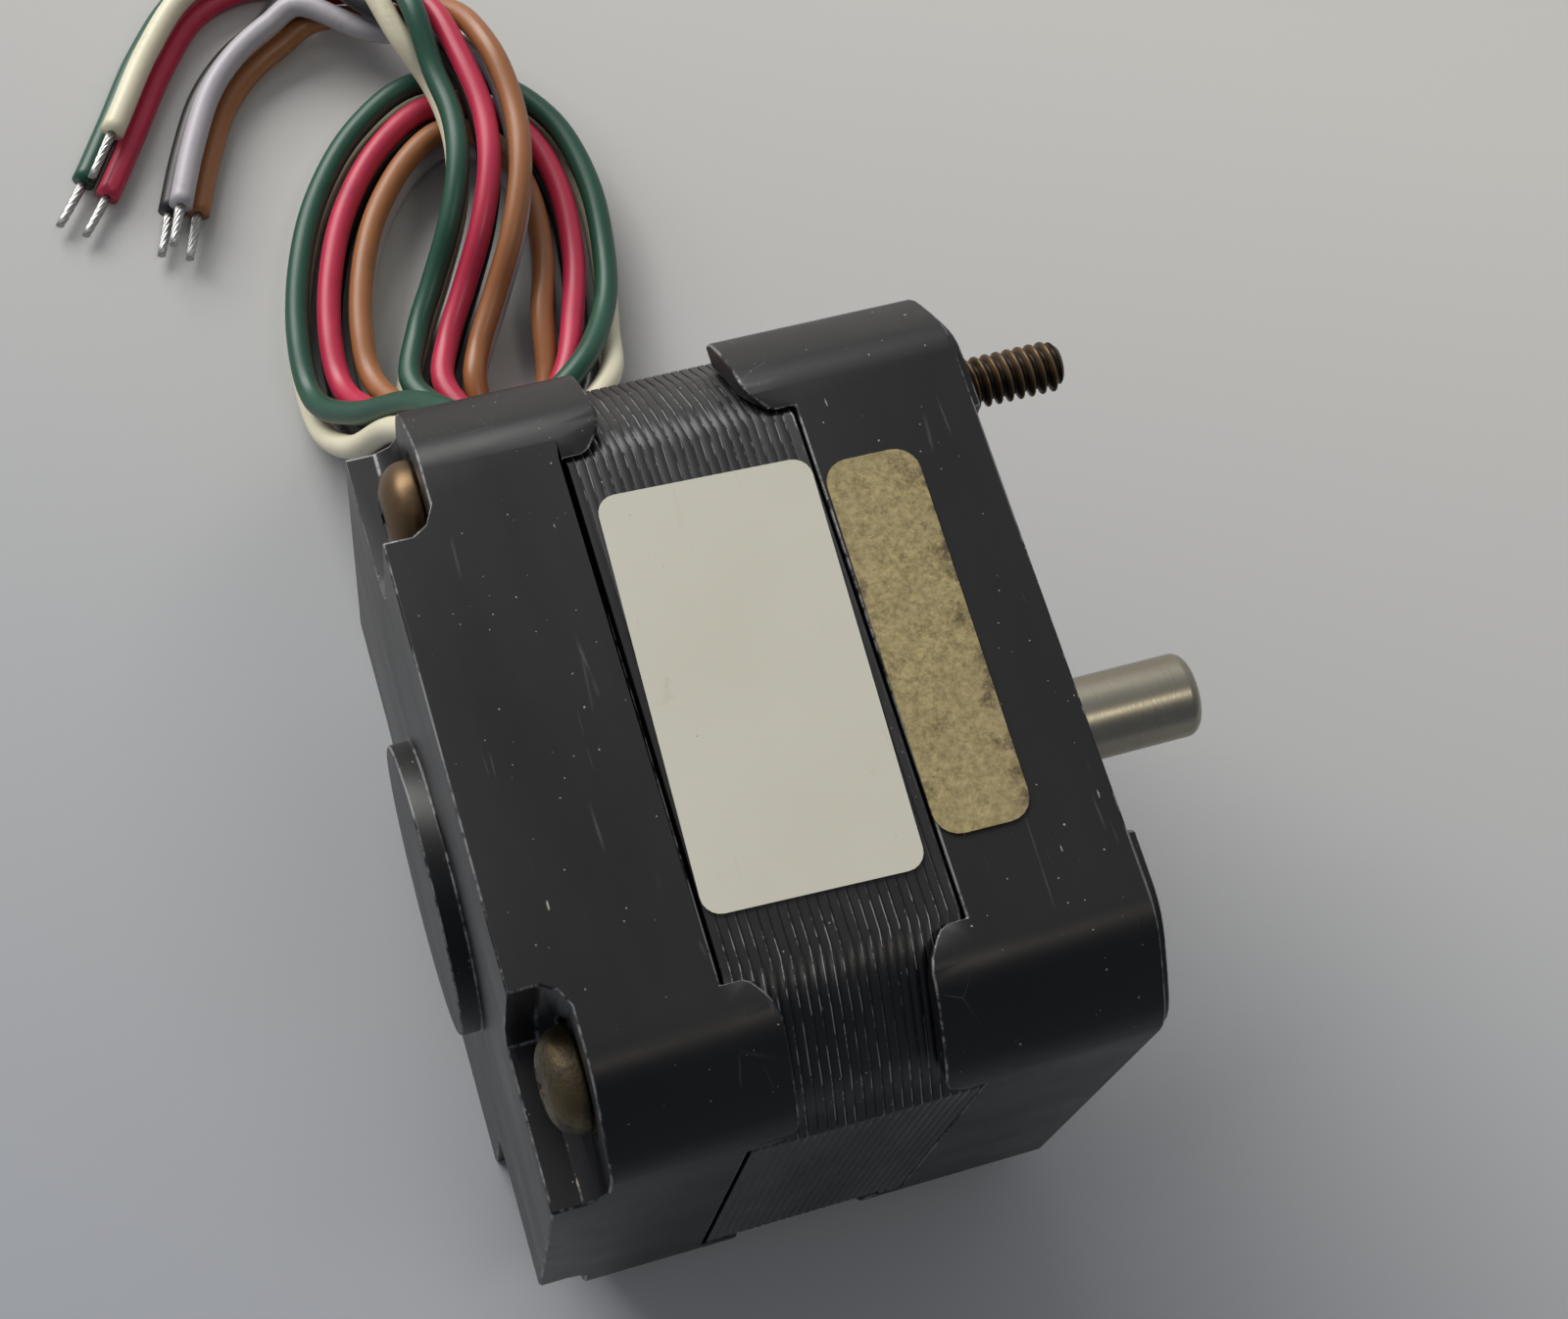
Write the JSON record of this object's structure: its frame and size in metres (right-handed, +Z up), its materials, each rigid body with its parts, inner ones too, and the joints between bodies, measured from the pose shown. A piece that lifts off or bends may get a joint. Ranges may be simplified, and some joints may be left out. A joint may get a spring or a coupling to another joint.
{
  "type": "stepper motor",
  "caption": "Square hybrid stepper motor on its side: laminated stator between lacquered end bells, a plain shaft, one long through screw and loose leads.",
  "frame": {"origin": "centre of the bottom of the motor's box, on the flat side it lies on, leads left out", "axes": "+X along the shaft from the rear bell to the shaft end, +Y towards the side the leads leave, +Z up from the resting side"},
  "size_m": [0.0573, 0.0967, 0.0422],
  "materials": {
    "black_lacquer": "satin black lacquer over cast metal, worn bright at the edges",
    "lamination": "black lacquered steel laminations with fine joint lines",
    "ground_steel": "ground steel, lightly tarnished",
    "rotor_steel": "bare steel",
    "magnet": "dull sintered magnet",
    "bearing_steel": "polished bearing steel",
    "zinc_yellow": "yellow passivated zinc plate, dirty",
    "bronze_steel": "bronze-brown passivated steel thread",
    "copper": "enamelled copper wire",
    "nylon": "moulded nylon",
    "grommet": "matt black",
    "paper_white": "bare off-white label, semi-gloss",
    "paper_tan": "bare tan label, mottled",
    "lead_green": "green PVC insulation",
    "lead_cream": "cream PVC insulation",
    "lead_red": "crimson PVC insulation",
    "lead_black": "black PVC insulation",
    "lead_brown": "orange-brown PVC insulation",
    "lead_grey": "grey PVC insulation"
  },
  "bodies": {
    "stator": {"rear_end_bell": "black_lacquer", "front_end_bell": "black_lacquer", "stator_stack": "lamination", "coil_1": "copper", "coil_2": "copper", "coil_3": "copper", "coil_4": "copper", "coil_5": "copper", "coil_6": "copper", "coil_7": "copper", "coil_8": "copper", "rear_insulator": "nylon", "front_insulator": "nylon", "rear_bearing_outer": "bearing_steel", "front_bearing_outer": "bearing_steel", "wave_washer": "bearing_steel", "screw_long": "bronze_steel", "screw_top_near": "zinc_yellow", "screw_bottom_near": "zinc_yellow", "screw_bottom_far": "zinc_yellow", "lead_grommet": "grommet", "label_white": "paper_white", "label_tan": "paper_tan", "lead_green": "lead_green", "lead_cream": "lead_cream", "lead_red": "lead_red", "lead_black": "lead_black", "lead_brown": "lead_brown", "lead_grey": "lead_grey"},
    "rotor": {"shaft": "ground_steel", "rear_rotor_cup": "rotor_steel", "front_rotor_cup": "rotor_steel", "rotor_magnet": "magnet", "rear_spacer": "rotor_steel", "front_spacer": "rotor_steel", "rear_bearing_inner": "bearing_steel", "front_bearing_inner": "bearing_steel"},
    "rear_balls": {"rear_bearing_balls": "bearing_steel"},
    "front_balls": {"front_bearing_balls": "bearing_steel"}
  },
  "joints": [
    {"name": "shaft_spin", "type": "hinge", "parent": "stator", "child": "rotor", "pos_m": [0, 0, 0.021], "axis": [1, 0, 0], "continuous": true},
    {"name": "rear_cage_spin", "type": "hinge", "parent": "stator", "child": "rear_balls", "pos_m": [-0.0186, 0, 0.021], "axis": [1, 0, 0], "continuous": true},
    {"name": "front_cage_spin", "type": "hinge", "parent": "stator", "child": "front_balls", "pos_m": [0.0069, 0, 0.021], "axis": [1, 0, 0], "continuous": true}
  ],
  "couplings": [
    {"joint": "rear_cage_spin", "follows": "shaft_spin", "ratio": 0.3967},
    {"joint": "front_cage_spin", "follows": "shaft_spin", "ratio": 0.3967}
  ]
}
